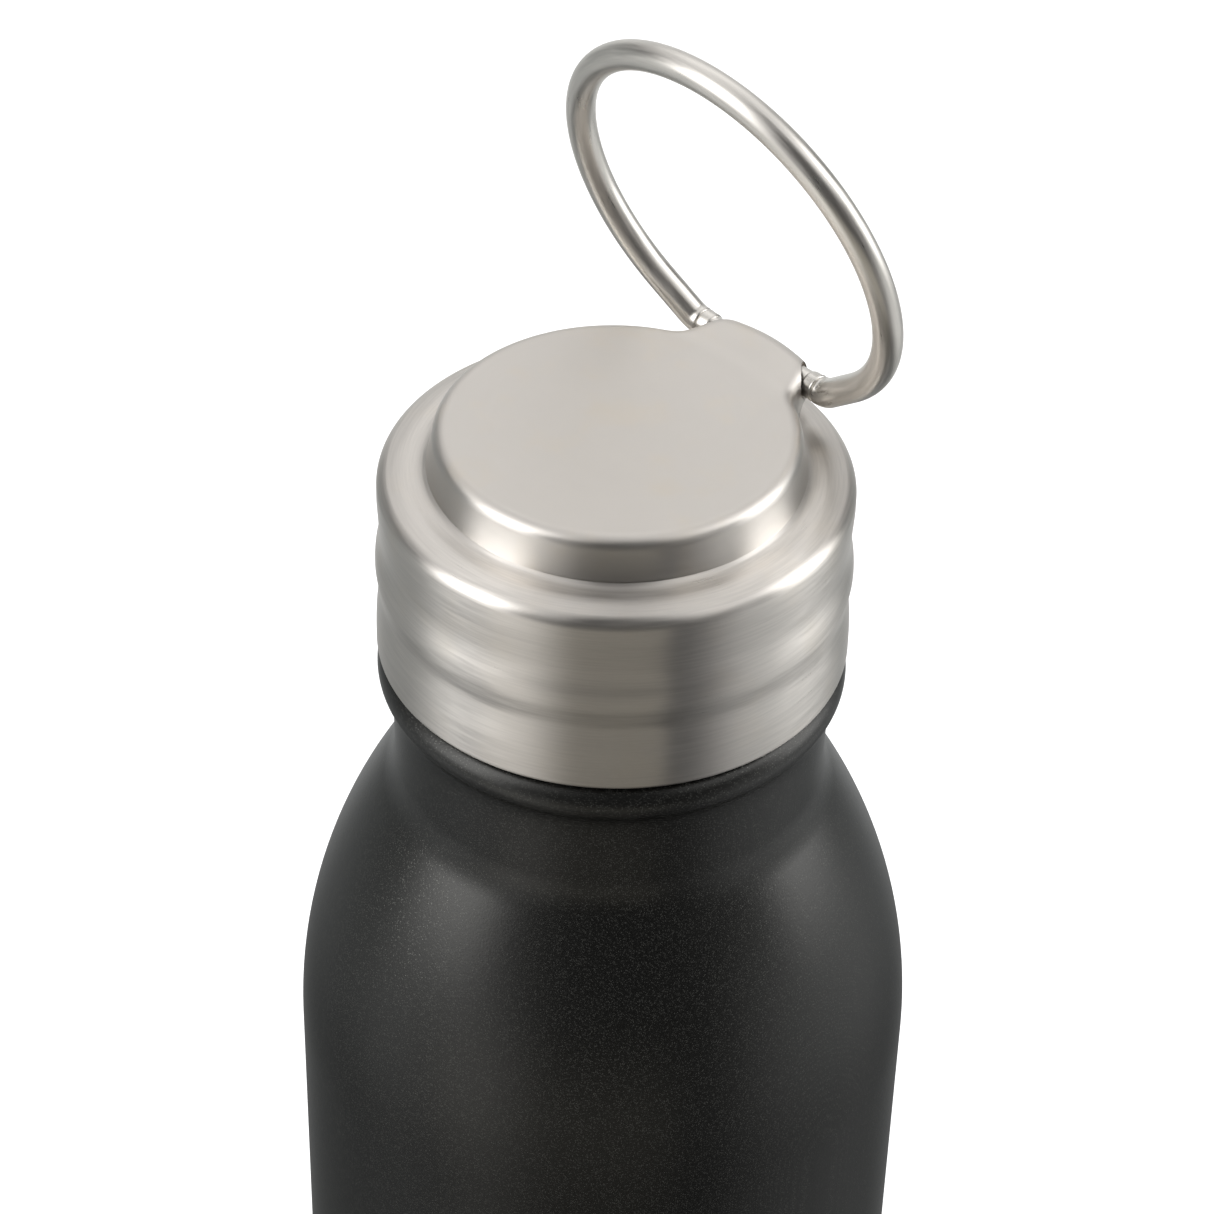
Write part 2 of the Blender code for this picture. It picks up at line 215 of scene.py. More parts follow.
def make_piece(name, shape, body, finish, sharp=35):
    """Turn a bmesh into a piece that rides on a body; edges sharper than `sharp` degrees stay crisp."""
    bmesh.ops.recalc_face_normals(shape, faces=shape.faces)
    piece = to_object(name, shape)
    piece.data.shade_smooth()
    piece.data.set_sharp_from_angle(angle=math.radians(sharp))
    piece.data.materials.append(finish)
    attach(piece, body)
    return piece


def bridge(shape, first, second):
    """Join two rings of a surface; a ring of one point is a pole."""
    count = max(len(first), len(second))
    if count == 1:
        return
    for step in range(count):
        after = (step + 1) % count
        corners = [first[step % len(first)], first[after % len(first)]]
        corners += [second[after % len(second)], second[step % len(second)]]
        shape.faces.new(list(dict.fromkeys(corners)))


def lathe(profile, closed=True, segments=ROUND, radius_at=None):
    """Revolve a (radius, z) outline about +Z; `radius_at` may change the radius by angle and height."""
    shape = bmesh.new()
    rings = []
    for radius, height in profile:
        if radius < 1e-6:
            rings.append([shape.verts.new((0.0, 0.0, height))])
            continue
        ring = []
        for step in range(segments):
            angle = 2 * math.pi * step / segments
            reach = radius_at(radius, angle, height) if radius_at else radius
            ring.append(shape.verts.new((reach * math.cos(angle), reach * math.sin(angle), height)))
        rings.append(ring)
    for first, second in zip(rings, rings[1:]):
        bridge(shape, first, second)
    if closed:
        bridge(shape, rings[-1], rings[0])
    return shape


def sweep(shape, path, radius, sides):
    """Sweep a circle along a path in the XZ plane; `radius` may be a list, one value per point.

    The vertex layer "along" holds the place round the circle and, slowly rising, the length so far.
    """
    layer = shape.verts.layers.float_vector.get("along") or shape.verts.layers.float_vector.new("along")
    rings = []
    length = 0.0
    for index, (x, z) in enumerate(path):
        before = path[max(index - 1, 0)]
        after = path[min(index + 1, len(path) - 1)]
        along = Vector((after[0] - before[0], after[1] - before[1])).normalized()
        length += math.hypot(x - path[index - 1][0], z - path[index - 1][1]) if index else 0.0
        size = radius[index] if isinstance(radius, list) else radius
        ring = []
        for step in range(sides):
            angle = 2 * math.pi * step / sides
            reach = size * math.cos(angle)
            vertex = shape.verts.new((x - along.y * reach, size * math.sin(angle), z + along.x * reach))
            vertex[layer] = (math.cos(angle), math.sin(angle), length * LENGTHWISE)
            ring.append(vertex)
        rings.append(ring)
    for first, second in zip(rings, rings[1:]):
        bridge(shape, first, second)
    shape.faces.new(rings[0])
    shape.faces.new(rings[-1][::-1])
    return rings


def ridge_height(angle, height, bottom_z, turns, first_angle):
    """How far the thread stands proud at a place on a wall."""
    best = 0.0
    for start in range(THREAD_STARTS):
        base = first_angle + 360 * start / THREAD_STARTS
        turn = (math.degrees(angle) - base) / 360 % 1.0
        while turn < turns:
            away = abs(height - bottom_z - THREAD_LEAD * turn)
            rise = 1 - smooth_step(THREAD_CREST_WIDTH / 2, THREAD_ROOT_WIDTH / 2, away)
            fade = smooth_step(0, 0.1, turn) * smooth_step(0, 0.1, turns - turn)
            best = max(best, THREAD_DEPTH * rise * fade)
            turn += 1
    return best


# ---------------------------------------------------------------- materials

def node(tree, kind, inputs=None, **settings):
    """Add a shader node; inputs may be values or sockets."""
    made = tree.nodes.new(kind)
    for key, value in settings.items():
        setattr(made, key, value)
    for key, value in (inputs or {}).items():
        if isinstance(value, bpy.types.NodeSocket):
            tree.links.new(value, made.inputs[key])
        else:
            made.inputs[key].default_value = value
    return made


def calc(tree, operation, *values):
    """A Math node's output."""
    return node(tree, "ShaderNodeMath", dict(enumerate(values)), operation=operation).outputs[0]


def vector_calc(tree, operation, *values, output=0):
    """A Vector Math node's output."""
    made = node(tree, "ShaderNodeVectorMath", dict(enumerate(values)), operation=operation)
    return made.outputs[output]


def scaled(tree, vector, factor):
    """A vector times a number."""
    inputs = {0: vector, "Scale": factor}
    return node(tree, "ShaderNodeVectorMath", inputs, operation="SCALE").outputs[0]


def remap(tree, value, from_low, from_high, to_low, to_high):
    """A value eased smoothly from one range to another."""
    inputs = {"Value": value, 1: from_low, 2: from_high, 3: to_low, 4: to_high}
    return node(tree, "ShaderNodeMapRange", inputs, interpolation_type="SMOOTHSTEP").outputs[0]


def blend_colour(tree, share, first, second):
    """Mix two colours by a factor."""
    made = node(tree, "ShaderNodeMix", {0: share, 6: first, 7: second}, data_type="RGBA")
    return made.outputs[2]


def new_material(name):
    """An empty material with its Principled BSDF."""
    material = bpy.data.materials.new(name)
    material.use_nodes = True
    return material, material.node_tree, material.node_tree.nodes["Principled BSDF"]


def set_inputs(tree, shader, inputs):
    """Set or link several of a shader's inputs."""
    for key, value in inputs.items():
        if isinstance(value, bpy.types.NodeSocket):
            tree.links.new(value, shader.inputs[key])
        else:
            shader.inputs[key].default_value = value


def rgb(value):
    """A colour with full alpha."""
    return (*value, 1.0)


def dimmed(colour, factor):
    """A colour times a number, held below white, with full alpha."""
    return rgb([min(1.0, part * factor) for part in colour])


def object_place(tree):
    """A point's own coordinates on its piece, in metres."""
    return node(tree, "ShaderNodeTexCoord").outputs["Object"]


def height_of(tree, vector):
    """A vector's Z."""
    return node(tree, "ShaderNodeSeparateXYZ", {0: vector}).outputs[2]


def bumps(tree, height, strength, distance):
    """A surface normal roughened by a height."""
    inputs = {"Height": height, "Strength": strength, "Distance": distance * MM}
    return node(tree, "ShaderNodeBump", inputs).outputs[0]


def noise(tree, vector, scale, detail=3.0, roughness=0.5, w=None):
    """A noise texture's value; with `w` it is four-dimensional."""
    inputs = {"Vector": vector, "Scale": scale, "Detail": detail, "Roughness": roughness}
    if w is not None:
        inputs["W"] = w
    size = "3D" if w is None else "4D"
    return node(tree, "ShaderNodeTexNoise", inputs, noise_dimensions=size).outputs["Fac"]


def turned_streaks(tree, place, lines_per_mm, wander):
    """Fine lines that run round +Z; the larger `wander` is, the faster they change along their length."""
    parts = node(tree, "ShaderNodeSeparateXYZ", {0: place})
    x, y, z = parts.outputs[0], parts.outputs[1], parts.outputs[2]
    squares = calc(tree, "ADD", calc(tree, "POWER", x, 2.0), calc(tree, "POWER", y, 2.0))
    reach = calc(tree, "SQRT", squares)
    safe = calc(tree, "MAXIMUM", reach, 0.5 * MM)
    side = calc(tree, "MULTIPLY", calc(tree, "DIVIDE", x, safe), wander)
    front = calc(tree, "MULTIPLY", calc(tree, "DIVIDE", y, safe), wander)
    fine = lines_per_mm / MM
    up = calc(tree, "MULTIPLY", z, fine)
    out = calc(tree, "MULTIPLY", reach, fine)
    vector = node(tree, "ShaderNodeCombineXYZ", {0: side, 1: front, 2: up}).outputs[0]
    return noise(tree, vector, 1.0, 1.0, 0.5, out)


def turned_steel(name, colour, roughness, lines, streak, spread, tint=0.0, relief=0.05, walls_only=False):
    """Stainless steel with lines turned round the axis: highlights stretch across the lines.

    `lines` is their number per millimetre, `streak` how far they darken the steel, `spread` the stretch of
    the highlights and `tint` the strength of faint warm clouds. With `walls_only`, faces that look up are
    rougher and have no stretch.
    """
    material, tree, shader = new_material(name)
    place = object_place(tree)
    streaks = turned_streaks(tree, place, lines, 5.0)
    cloud = noise(tree, place, 90.0, 3.0, 0.55)
    warm = noise(tree, place, 170.0, 2.0, 0.5)
    base = blend_colour(tree, remap(tree, cloud, 0.3, 0.7, 0, 1), dimmed(colour, 0.97), rgb(colour))
    warm_colour = rgb((colour[0] * 1.015, colour[1] * 0.985, colour[2] * 0.93))
    base = blend_colour(tree, remap(tree, warm, 0.5, 0.75, 0, tint), base, warm_colour)
    dark = remap(tree, streaks, 0.25, 0.75, 1 - streak, 1 + streak * 0.4)
    rough = calc(tree, "ADD", remap(tree, streaks, 0.2, 0.8, roughness - 0.03, roughness + 0.04),
                 remap(tree, cloud, 0.3, 0.7, -0.015, 0.02))
    if walls_only:
        upward = height_of(tree, node(tree, "ShaderNodeNewGeometry").outputs["Normal"])
        spread = remap(tree, upward, 0.35, 0.9, spread, 0.0)
        rough = calc(tree, "ADD", rough, remap(tree, upward, 0.5, 0.98, 0.0, 0.14))
    set_inputs(tree, shader, {
        "Base Color": vector_calc(tree, "MULTIPLY", base, dark),
        "Metallic": 1.0,
        "Roughness": rough,
        "Normal": bumps(tree, streaks, relief, 0.04),
        "Anisotropic": spread,
        "Anisotropic Rotation": 0.25,
        "Tangent": node(tree, "ShaderNodeTangent", direction_type="RADIAL", axis="Z").outputs[0],
    })
    return material


def satin_steel(name, colour, roughness, grain=2600.0, depth=0.10):
    """Bead-blasted steel: fine even grain, faint clouds, no direction."""
    material, tree, shader = new_material(name)
    place = object_place(tree)
    fine = noise(tree, place, grain, 2.0, 0.6)
    cloud = noise(tree, place, 120.0, 3.0, 0.5)
    share = remap(tree, cloud, 0.35, 0.65, 0, 1)
    rough = calc(tree, "ADD", remap(tree, fine, 0.3, 0.7, roughness - 0.04, roughness + 0.04),
                 remap(tree, cloud, 0.3, 0.7, -0.02, 0.02))
    set_inputs(tree, shader, {
        "Base Color": blend_colour(tree, share, dimmed(colour, 0.97), dimmed(colour, 1.02)),
        "Metallic": 1.0,
        "Roughness": rough,
        "Normal": bumps(tree, fine, depth, 0.05),
    })
    return material


def drawn_wire(name, colour, roughness):
    """Satin wire: fine scratches that run along it, from the sweep's own coordinates."""
    material, tree, shader = new_material(name)
    along = node(tree, "ShaderNodeAttribute", attribute_name="along").outputs["Vector"]
    scratches = noise(tree, along, 5.0, 2.0, 0.6)
    cloud = noise(tree, object_place(tree), 150.0, 3.0, 0.55)
    share = remap(tree, scratches, 0.3, 0.7, 0, 1)
    rough = calc(tree, "ADD", remap(tree, scratches, 0.3, 0.7, roughness - 0.04, roughness + 0.05),
                 remap(tree, cloud, 0.3, 0.7, -0.03, 0.03))
    set_inputs(tree, shader, {
        "Base Color": blend_colour(tree, share, dimmed(colour, 0.93), dimmed(colour, 1.03)),
        "Metallic": 1.0,
        "Roughness": rough,
        "Normal": bumps(tree, scratches, 0.08, 0.05),
    })
    return material


COAT_DARK = (0.0012, 0.0012, 0.001)
COAT_PALE = (0.003, 0.003, 0.0027)
FLAKE_COLOUR = (0.10, 0.1005, 0.093)
FLAKE_LEAN = 0.28


def powder_coat(name):
    """Near-black coat: fine orange-peel, and tiny flakes that lean different ways and catch the light."""
    material, tree, shader = new_material(name)
    place = object_place(tree)
    cells = node(tree, "ShaderNodeTexVoronoi", {"Vector": place, "Scale": 7000.0}, feature="F1")
    parts = node(tree, "ShaderNodeSeparateColor", {0: cells.outputs["Color"]})
    chosen = remap(tree, parts.outputs[0], 0.64, 0.95, 0, 1)
    core = remap(tree, cells.outputs["Distance"], 0.25, 0.55, 1, 0)
    flake = calc(tree, "MULTIPLY", chosen, core)
    grain = noise(tree, place, 3600.0, 2.0, 0.6)
    swell = noise(tree, place, 700.0, 2.0, 0.5)
    height = calc(tree, "ADD", calc(tree, "MULTIPLY", grain, 0.6), calc(tree, "MULTIPLY", swell, 0.5))
    centred = vector_calc(tree, "SUBTRACT", cells.outputs["Color"], (0.5, 0.5, 0.5))
    lean = scaled(tree, centred, calc(tree, "MULTIPLY", flake, FLAKE_LEAN))
    leaned = vector_calc(tree, "ADD", bumps(tree, height, 0.35, 0.06), lean)
    base = blend_colour(tree, remap(tree, grain, 0.3, 0.7, 0, 1), rgb(COAT_DARK), rgb(COAT_PALE))
    set_inputs(tree, shader, {
        "Base Color": blend_colour(tree, flake, base, rgb(FLAKE_COLOUR)),
        "Metallic": flake,
        "Roughness": remap(tree, flake, 0, 1, 0.31, 0.29),
        "Specular IOR Level": 0.55,
        "Specular Tint": rgb((1.0, 0.99, 0.96)),
        "Normal": vector_calc(tree, "NORMALIZE", leaned),
    })
    return material


def moulded(name, colour, roughness, grain=1500.0, depth=0.25):
    """Moulded rubber or plastic: fine matt grain with faint clouding."""
    material, tree, shader = new_material(name)
    place = object_place(tree)
    fine = noise(tree, place, grain, 3.0, 0.6)
    cloud = noise(tree, place, 110.0, 3.0, 0.5)
    share = remap(tree, cloud, 0.3, 0.7, 0, 1)
    set_inputs(tree, shader, {
        "Base Color": blend_colour(tree, share, dimmed(colour, 0.85), dimmed(colour, 1.1)),
        "Roughness": remap(tree, fine, 0.3, 0.7, roughness - 0.06, roughness + 0.06),
        "Normal": bumps(tree, fine, depth, 0.1),
    })
    return material


STEEL = (0.66, 0.627, 0.588)
INNER_STEEL = (0.6, 0.59, 0.57)
finishes = {
    "coat": powder_coat("powder_coat"),
    "skirt": turned_steel("turned_skirt", STEEL, 0.31, lines=3.8, streak=0.08, spread=0.9, tint=0.3,
                          relief=0.01),
    "crown": turned_steel("satin_crown", STEEL, 0.35, lines=2.4, streak=0.012, spread=0.92, tint=0.6,
                          relief=0.004, walls_only=True),
    "wire": drawn_wire("drawn_wire", (0.73, 0.70, 0.655), 0.33),
    "neck": turned_steel("bare_neck", STEEL, 0.25, lines=2.6, streak=0.08, spread=0.6, tint=0.2),
    "flask": turned_steel("drawn_flask", INNER_STEEL, 0.3, lines=1.4, streak=0.12, spread=0.6, tint=0.2),
    "plate": turned_steel("spun_plate", INNER_STEEL, 0.3, lines=2.0, streak=0.1, spread=0.6, tint=0.2),
    "hidden_steel": satin_steel("inner_steel", (0.55, 0.55, 0.54), 0.4),
    "rubber": moulded("pad_rubber", (0.022, 0.022, 0.022), 0.75),
    "gasket": moulded("gasket_silicone", (0.72, 0.72, 0.7), 0.5, grain=900.0, depth=0.08),
    "liner": moulded("liner_plastic", (0.03, 0.03, 0.03), 0.45, grain=1200.0, depth=0.12),
    "foam": moulded("foam_core", (0.85, 0.84, 0.78), 0.95, grain=1800.0, depth=0.6),
    "solder": moulded("seal_glass", (0.35, 0.3, 0.22), 0.25, grain=500.0, depth=0.05),
    "foil": satin_steel("shield_foil", (0.8, 0.8, 0.79), 0.22, grain=500.0, depth=0.3),
    "getter": moulded("getter_metal", (0.22, 0.22, 0.23), 0.8, grain=1500.0, depth=0.5),
}


# ---------------------------------------------------------------- bottle

def shoulder_curve():
    """Outer body wall from the top of the cylinder over the shoulder and in to the waist."""
    centre = (BODY_RADIUS - SHOULDER_RADIUS, SHOULDER_START_Z)
    shoulder = arc(centre, SHOULDER_RADIUS, 0, SHOULDER_SWEEP, 60)
    reach = SHOULDER_RADIUS + WAIST_FILLET
    turn = math.radians(SHOULDER_SWEEP)
    fillet_centre = (centre[0] + reach * math.cos(turn), centre[1] + reach * math.sin(turn))
    return shoulder + arc(fillet_centre, WAIST_FILLET, 180 + SHOULDER_SWEEP, 180, 24)[1:]


def build_body():
    """Coated outer wall, from the rolled foot up to the ledge where the bare neck starts."""
    foot = [(FOOT_INNER_RADIUS, 7.0), (FOOT_INNER_RADIUS, 2.6), (34.2, 1.7)]
    foot += arc((BODY_RADIUS - FOOT_ROUND, 4.0), FOOT_ROUND, -88, 0, 16)
    side = line((BODY_RADIUS, 4.2), (BODY_RADIUS, SHOULDER_START_Z), 40)
    waist = shoulder_curve()[-1]
    crease = through([waist, (24.8, 211.0), (24.98, 214.0), (25.42, 215.5), (26.1, 216.45)], 8)[1:]
    bead = arc(BEAD_CENTRE, BEAD_RADIUS, -31, 90, 32)
    ledge = [(23.5, BEAD_CENTRE[1] + BEAD_RADIUS)]
    profile = foot + side + shoulder_curve() + crease + bead + ledge
    piece = make_piece("body_coat", lathe(profile, closed=False), "bottle", finishes["coat"])
    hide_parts("outer_shell")


def build_neck():
    """Bare steel neck with its rolled thread."""
    ledge_z = BEAD_CENTRE[1] + BEAD_RADIUS
    low = ledge_z + 0.3

    def wall(radius, angle, height):
        if abs(radius - NECK_RADIUS) > 0.01:
            return radius
        return radius + ridge_height(angle, height, THREAD_BOTTOM_Z, 1.4, 0)

    profile = [(23.6, ledge_z), (23.1, ledge_z)] + arc((23.05, low + 0.05), 0.35, 265, 182, 5)
    profile += line((NECK_RADIUS, low + 0.2), (NECK_RADIUS, NECK_RIM_Z), 110)
    profile += [(NECK_RADIUS, NECK_RIM_Z)]
    shape = lathe(profile, closed=False, radius_at=wall)
    make_piece("bare_neck", shape, "bottle", finishes["neck"], sharp=60)


def build_flask():
    """Inner vessel: rolled lip, straight mouth, shoulder, cylinder and rounded floor."""
    lip = arc((22.15, LIP_TOP_Z - 0.5), 0.75, -40, 180, 18)
    body = BODY_RADIUS - SHELL_SPACING - 0.5
    centre = (BODY_RADIUS - SHOULDER_RADIUS, SHOULDER_START_Z)
    radius = SHOULDER_RADIUS - SHELL_SPACING - 0.5
    fillet = 8.5
    sweep_angle = math.degrees(math.acos((MOUTH_RADIUS + fillet - centre[0]) / (radius + fillet)))
    height = centre[1] + (radius + fillet) * math.sin(math.radians(sweep_angle))
    neck = line((MOUTH_RADIUS, LIP_TOP_Z - 0.6), (MOUTH_RADIUS, height), 20)
    waist = arc((MOUTH_RADIUS + fillet, height), fillet, 180, 180 + sweep_angle, 16)
    shoulder = arc(centre, radius, sweep_angle, 0, 40)
    corner = 7.5
    floor = FLASK_FLOOR_Z + 0.5
    side = line((body, SHOULDER_START_Z), (body, floor + corner), 30)
    bottom = arc((body - corner, floor + corner), corner, 0, -90, 14)
    profile = lip + neck + waist + shoulder + side + bottom + [(12.0, floor), (0.0, floor)]
    shape = lathe(profile, closed=False)
    piece = make_piece("flask_inside", shape, "bottle", finishes["flask"], sharp=50)
    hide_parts("inner_flask_wall", "inner_flask_base")


def build_foot():
    """Spun cover plate and the rubber pad, ringed with shallow grip ridges."""
    rim = COVER_RADIUS
    cover = [(rim, 7.2)] + arc((rim - 0.6, 3.8), 0.6, 0, -90, 8) + [(0.0, 3.2)]
    piece = make_piece("cover_plate", lathe(cover, closed=False), "bottle", finishes["plate"])
    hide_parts("bottom_cover")
    outline = [(0.0, PAD_TOP_Z), (PAD_RADIUS, PAD_TOP_Z)]
    outline += arc((PAD_RADIUS - 1.1, 1.1), 1.1, 0, -90, 10)
    for radius in (30.0, 26.0, 22.0, 18.0, 14.0):
        outline += [(radius, 0.0), (radius - 0.35, 0.45), (radius - 1.25, 0.45), (radius - 1.6, 0.0)]
    outline += [(9.0, 0.0), (8.4, 0.6), (0.0, 0.6)]
    shape = lathe(outline, closed=False)
    piece = make_piece("rubber_foot", shape, "bottle", finishes["rubber"])
    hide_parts("base_pad")


# ---------------------------------------------------------------- cap

def build_skirt():
    """Turned cap wall with its soft steps, rolled lower edge, shoulder and low seat for the crown."""
    base = CAP_BOTTOM_Z
    lower = arc((26.0, 0.5), 0.5, 200, 360, 10)
    steps = [(26.5, 0.6), (26.49, 2.6), (26.4, 4.8), (26.18, 7.0), (26.12, 8.3), (26.32, 9.7)]
    steps += [(26.5, 11.1), (26.41, 12.7), (26.13, 14.2), (25.99, 15.6), (26.07, 17.6), (26.2, 19.9)]
    shoulder = arc((24.48, 21.45), 1.72, 6, 70, 14)
    seat = [shoulder[-1], (24.4, 23.25), (23.7, 23.4), (23.0, 23.48), (22.3, 23.5)]
    seat += [(21.7, 23.56), (21.2, 23.7), (20.75, 23.95), (20.4, 24.1), (17.0, 24.1)]
    outside = lower + through(steps, 12) + shoulder[:-1] + through(seat, 8)
    inside = [(17.0, 23.3), (22.0, 23.3), (22.7, 22.6), (24.2, 22.4)]
    inside += [(24.9, 21.8), (25.3, 20.6), (25.3, 1.0)]
    profile = [(radius, base + height) for radius, height in outside + inside]
    piece = make_piece("cap_skirt", lathe(profile), "cap", finishes["skirt"], sharp=40)
    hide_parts("cap_shell")


def nose_front(x):
    """The lug's front bows out a little between its ends."""
    return PIVOT.y + NOSE_REACH + NOSE_BOW * (1 - (x / LUG_HALF_WIDTH) ** 2) - NOSE_BOW


def evenly_spaced(loop, count):
    """`count` points at equal distances along a closed loop."""
    lengths = [0.0]
    for (x0, y0), (x1, y1) in zip(loop, loop[1:] + loop[:1]):
        lengths.append(lengths[-1] + math.hypot(x1 - x0, y1 - y0))
    points = []
    index = 0
    for step in range(count):
        target = lengths[-1] * step / count
        while lengths[index + 1] < target:
            index += 1
        share = (target - lengths[index]) / (lengths[index + 1] - lengths[index])
        start = loop[index]
        end = loop[(index + 1) % len(loop)]
        points.append(Vector([a + (b - a) * share for a, b in zip(start, end)]))
    return points


def crown_outline(count):
    """Plan of the crown: a disc, two fillets and the lug's rounded nose, evenly spaced and softened."""
    fillet_y = math.sqrt((DISC_RADIUS + LUG_FILLET) ** 2 - (LUG_HALF_WIDTH + LUG_FILLET) ** 2)
    turn = math.degrees(math.atan2(fillet_y, LUG_HALF_WIDTH + LUG_FILLET))
    turn_x = LUG_HALF_WIDTH - NOSE_CORNER
    half = arc((0.0, 0.0), DISC_RADIUS, -90, turn, 200)
    half += arc((LUG_HALF_WIDTH + LUG_FILLET, fillet_y), LUG_FILLET, 180 + turn, 180, 40)[1:]
    half += arc((turn_x, nose_front(turn_x) - NOSE_CORNER), NOSE_CORNER, 0, 84, 40)
    for step in range(1, 21):
        x = turn_x * (1 - step / 20)
        half.append((x, nose_front(x)))
    points = evenly_spaced(half + [(-x, y) for x, y in half[-2:0:-1]], count)
    for _ in range(6):
        points = [(points[i - 1] + points[i] * 2 + points[(i + 1) % count]) / 4 for i in range(count)]
    return points


def crown_height(x, y):
    """Top of the crown: a flat disc, a faint swale at its rim and the lug's low hump."""
    reach = math.hypot(x, y)
    across = 1 - smooth_step(6.0, 12.0, abs(x))
    ahead = smooth_step(10.0, 16.0, y) * across
    fall = 1 - HUMP_FALL * min(1.0, (x / HUMP_HALF_WIDTH) ** 2)
    hump = (NOSE_TOP_Z - DISC_TOP_Z) * smooth_step(HUMP_START, HUMP_END, reach) * fall
    swale = SWALE_DEPTH * math.exp(-(((reach - SWALE_RADIUS) / SWALE_WIDTH) ** 2))
    return DISC_TOP_Z + (hump - swale) * ahead


def crown_section(point, outward):
    """The rim's inset, and (inset, z) down the crown's edge at a place on its outline."""
    lug = smooth_step(LUG_START_Y, LUG_FULL_Y, point.y)
    nose = lug * max(0.0, outward.y) ** 2
    lug_edge = LUG_EDGE + LUG_EDGE_GROWTH * smooth_step(LUG_START_Y, LUG_EDGE_FULL_Y, point.y)
    edge = DISC_EDGE + (lug_edge - DISC_EDGE) * lug + (NOSE_REACH - lug_edge) * nose
    top = crown_height(point.x - outward.x * edge, point.y - outward.y * edge)
    low = CAP_TOP_Z + 0.02 + (PIVOT.z - NOSE_REACH - CAP_TOP_Z - 0.02) * lug
    flare = DISC_LEAN * (1 - lug)
    section = []
    for step in range(1, 11):
        angle = math.pi / 2 * step / 10
        section.append((edge * (1 - math.sin(angle)), top - edge * (1 - math.cos(angle))))
    under = 1.0 * lug + (NOSE_REACH - 1.0) * nose
    wall_top = top - edge
    wall_low = min(low + under, wall_top - 0.02)
    for step in range(1, 6):
        share = step / 5
        section.append((-flare * share**1.3, wall_top + (wall_low - wall_top) * share))
    tuck = max(under, 0.02)
    for step in range(1, 7):
        angle = math.pi / 2 * step / 6
        section.append((-flare + tuck * (1 - math.cos(angle)), wall_low - (wall_low - low) * math.sin(angle)))
    section.append((-flare + 3.6, low))
    return edge, section


def crown_columns(count, steps):
    """Columns of points that run from the crown's middle to its rim and down its edge."""
    outline = crown_outline(count)
    columns = []
    for index, point in enumerate(outline):
        along = (outline[(index + 1) % count] - outline[index - 1]).normalized()
        outward = Vector((along.y, -along.x))
        edge, section = crown_section(point, outward)
        rim = point - outward * edge
        column = []
        for step in range(1, steps + 1):
            place = rim * (1 - (1 - step / steps) ** 1.6)
            column.append((place.x, place.y, crown_height(place.x, place.y)))
        for away, height in section:
            place = point - outward * away
            column.append((place.x, place.y, height))
        columns.append(column)
    return columns


def cut_pin_holes(piece):
    """Cut the pin's holes into the lug's ends, each with a slightly eased mouth."""
    shape = bmesh.new()
    reach = [HOLE_RADIUS, HOLE_RADIUS, HOLE_RADIUS + 0.05, HOLE_RADIUS + 0.1]
    for side in (-1, 1):
        depths = (-HOLE_DEPTH, -0.25, -0.02, 1.0)
        sweep(shape, [(side * (LUG_HALF_WIDTH + depth), 0.0) for depth in depths], reach, 48)
    bmesh.ops.recalc_face_normals(shape, faces=shape.faces)
    bmesh.ops.translate(shape, verts=shape.verts, vec=PIVOT)
    cutter = to_object("pin_holes", shape)
    modifier = piece.modifiers.new("Holes", "BOOLEAN")
    modifier.operation = "DIFFERENCE"
    modifier.solver = "EXACT"
    modifier.object = cutter
    bpy.context.view_layer.update()
    evaluated = piece.evaluated_get(bpy.context.evaluated_depsgraph_get())
    cut = bpy.data.meshes.new_from_object(evaluated)
    piece.modifiers.clear()
    piece.data = cut
    bpy.data.objects.remove(cutter)


def build_crown():
    """Disc and lug in one smooth casting, with the pin's holes cut into the lug's ends."""
    columns = crown_columns(count=480, steps=30)
    shape = bmesh.new()
    rings = [[shape.verts.new((0.0, 0.0, crown_height(0.0, 0.0)))]]
    for level in range(len(columns[0])):
        rings.append([shape.verts.new(column[level]) for column in columns])
    for first, second in zip(rings, rings[1:]):
        bridge(shape, first, second)
    shape.faces.new(rings[-1])
    piece = make_piece("cap_crown_cast", shape, "cap", finishes["crown"], sharp=45)
    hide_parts("cap_crown")
    cut_pin_holes(piece)


